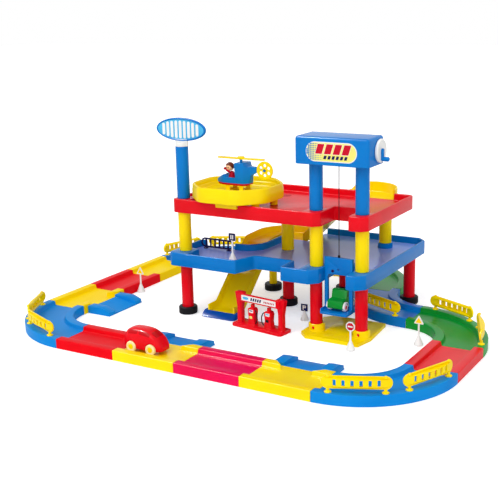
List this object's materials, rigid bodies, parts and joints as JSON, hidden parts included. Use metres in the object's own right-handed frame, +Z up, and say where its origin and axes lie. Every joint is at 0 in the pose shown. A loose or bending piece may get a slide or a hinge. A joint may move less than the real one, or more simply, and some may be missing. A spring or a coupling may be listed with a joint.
{
  "type": "toy parking garage",
  "caption": "Two-storey toy garage with a cranked lift, slides and a helipad, inside a closed loop of snap-together road, with small vehicles.",
  "frame": {"origin": "on the floor, under the middle of the road loop", "axes": "+Z up; +X along the front of the loop, to the lift's crank; +Y from the front to the back"},
  "size_m": [1.048, 0.892, 0.47],
  "materials": {
    "red_plastic": "glossy moulded plastic",
    "yellow_plastic": "glossy moulded plastic",
    "blue_plastic": "glossy moulded plastic",
    "green_plastic": "glossy moulded plastic",
    "white_plastic": "glossy moulded plastic",
    "cord": "braided cord"
  },
  "bodies": {
    "garage": {"road_front_1": "red_plastic", "road_front_3": "red_plastic", "road_right": "red_plastic", "road_rear_2": "red_plastic", "road_left_2": "red_plastic", "leg_left": "red_plastic", "leg_middle": "red_plastic", "leg_rear": "red_plastic", "leg_right": "red_plastic", "leg_lift_left": "red_plastic", "leg_lift_right": "red_plastic", "deck_upper": "red_plastic", "pump_station": "red_plastic", "road_front_2": "yellow_plastic", "road_front_4": "yellow_plastic", "road_rear_1": "yellow_plastic", "road_left_1": "yellow_plastic", "road_left_3": "yellow_plastic", "column_left": "yellow_plastic", "column_lift_left": "yellow_plastic", "column_lift_right": "yellow_plastic", "column_middle": "yellow_plastic", "column_exit": "yellow_plastic", "post_slide": "yellow_plastic", "slide_upper": "yellow_plastic", "slide_lower": "yellow_plastic", "lift_base": "yellow_plastic", "helipad": "yellow_plastic", "corner_front_left": "blue_plastic", "corner_front_right": "blue_plastic", "corner_inner": "blue_plastic", "corner_rear_left": "blue_plastic", "bay_front_left": "blue_plastic", "bay_front_right": "blue_plastic", "bay_left": "blue_plastic", "post_tower": "blue_plastic", "post_lift_left": "blue_plastic", "post_lift_right": "blue_plastic", "deck_mid": "blue_plastic", "slide_foot": "blue_plastic", "lift_head": "blue_plastic", "tower_sign": "blue_plastic", "guard_rail": "blue_plastic", "corner_rear_right": "green_plastic", "corner_rear_middle": "green_plastic", "sign_deck": "white_plastic", "sign_stop": "white_plastic", "sign_parking": "white_plastic", "lift_cord": "cord"},
    "cabin": {"lift_cabin": "blue_plastic"},
    "winch": {"lift_winch": "white_plastic"},
    "buggy": {"buggy_body": "green_plastic"},
    "buggy_rear_wheels": {"buggy_wheels_rear": "white_plastic"},
    "buggy_front_wheels": {"buggy_wheels_front": "white_plastic"},
    "car": {"car_body": "red_plastic"},
    "car_rear_wheels": {"car_wheels_rear": "yellow_plastic"},
    "car_front_wheels": {"car_wheels_front": "yellow_plastic"},
    "helicopter": {"heli_body": "blue_plastic"},
    "main_rotor": {"heli_rotor": "yellow_plastic"},
    "tail_rotor": {"heli_tail_rotor": "yellow_plastic"}
  },
  "joints": [
    {"name": "lift_travel", "type": "slide", "parent": "garage", "child": "cabin", "axis": [0, 0, 1], "range_m": [-0.04, 0.204], "deforming": ["lift_cord"]},
    {"name": "winch_turn", "type": "hinge", "parent": "garage", "child": "winch", "pos_m": [0.31, -0.0787, 0.418], "axis": [1, 0, 0], "range_deg": [-880.8, 174.3]},
    {"name": "buggy_roll", "type": "slide", "parent": "cabin", "child": "buggy", "axis": [0, -1, 0], "range_m": [-0.009, 0.009]},
    {"name": "buggy_rear_axle", "type": "hinge", "parent": "buggy", "child": "buggy_rear_wheels", "pos_m": [0.201, -0.06725, 0.0713], "axis": [1, 0, 0], "continuous": true},
    {"name": "buggy_front_axle", "type": "hinge", "parent": "buggy", "child": "buggy_front_wheels", "pos_m": [0.201, -0.10025, 0.0713], "axis": [1, 0, 0], "continuous": true},
    {"name": "car_roll", "type": "slide", "parent": "garage", "child": "car", "axis": [1, 0, 0], "range_m": [-0.15, 0.36]},
    {"name": "car_rear_axle", "type": "hinge", "parent": "car", "child": "car_rear_wheels", "pos_m": [-0.131, -0.39, 0.0243], "axis": [0, 1, 0], "continuous": true},
    {"name": "car_front_axle", "type": "hinge", "parent": "car", "child": "car_front_wheels", "pos_m": [-0.081, -0.39, 0.0243], "axis": [0, 1, 0], "continuous": true},
    {"name": "helicopter_lift_off", "type": "slide", "parent": "garage", "child": "helicopter", "axis": [0, 0, 1], "range_m": [0, 0.06]},
    {"name": "main_rotor_spin", "type": "hinge", "parent": "helicopter", "child": "main_rotor", "pos_m": [-0.064, -0.058, 0.376], "axis": [0, 0, 1], "continuous": true},
    {"name": "tail_rotor_spin", "type": "hinge", "parent": "helicopter", "child": "tail_rotor", "pos_m": [0.002, -0.0637, 0.35374], "axis": [0, 1, 0], "continuous": true}
  ],
  "couplings": [
    {"joint": "winch_turn", "follows": "lift_travel", "rad_per_m": -75.188}
  ]
}
